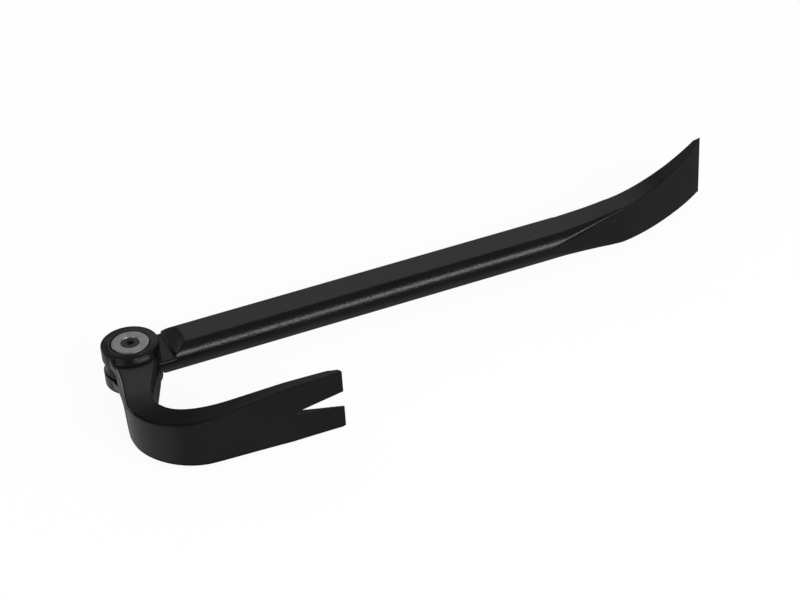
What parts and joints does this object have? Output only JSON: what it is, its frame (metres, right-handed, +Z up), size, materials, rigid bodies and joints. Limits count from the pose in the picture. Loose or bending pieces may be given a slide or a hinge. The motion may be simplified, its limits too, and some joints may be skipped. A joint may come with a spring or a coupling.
{
  "type": "pry bar",
  "caption": "Adjustable pry bar: forged bar with a chisel end and a hooked nail claw that pivots and locks on a push-button clevis joint.",
  "frame": {"origin": "middle of the folded tool's bounding box in X and Y, on the surface that the chisel's and claw's edges rest on", "axes": "+X along the bar from the pivot to the chisel end, +Z up along the pivot axis, out of the push button; the folded claw is on the -Y side"},
  "size_m": [0.4614, 0.1398, 0.045],
  "materials": {
    "forged_black": "satin black finish over forged steel",
    "satin_steel": "satin",
    "black_oxide": "black oxide",
    "spring_steel": "drawn wire",
    "hardened_steel": "oiled, dark"
  },
  "bodies": {
    "bar": {"bar": "forged_black"},
    "head": {"claw_head": "forged_black", "end_cap": "black_oxide", "retaining_ring": "black_oxide", "return_spring": "spring_steel", "upper_washer": "hardened_steel", "lower_washer": "hardened_steel"},
    "lock": {"lock_hub": "hardened_steel", "push_button": "satin_steel", "button_screw": "black_oxide"}
  },
  "joints": [
    {"name": "head_pivot", "type": "hinge", "parent": "bar", "child": "head", "pos_m": [-0.2077, 0.0333, 0.0225], "axis": [0, 0, 1], "range_deg": [-180, 0]},
    {"name": "button_press", "type": "slide", "parent": "head", "child": "lock", "axis": [0, 0, -1], "range_m": [0, 0.0034], "stiffness_N_per_m": 2500, "springref_m": -0.004, "deforming": ["return_spring"]}
  ]
}
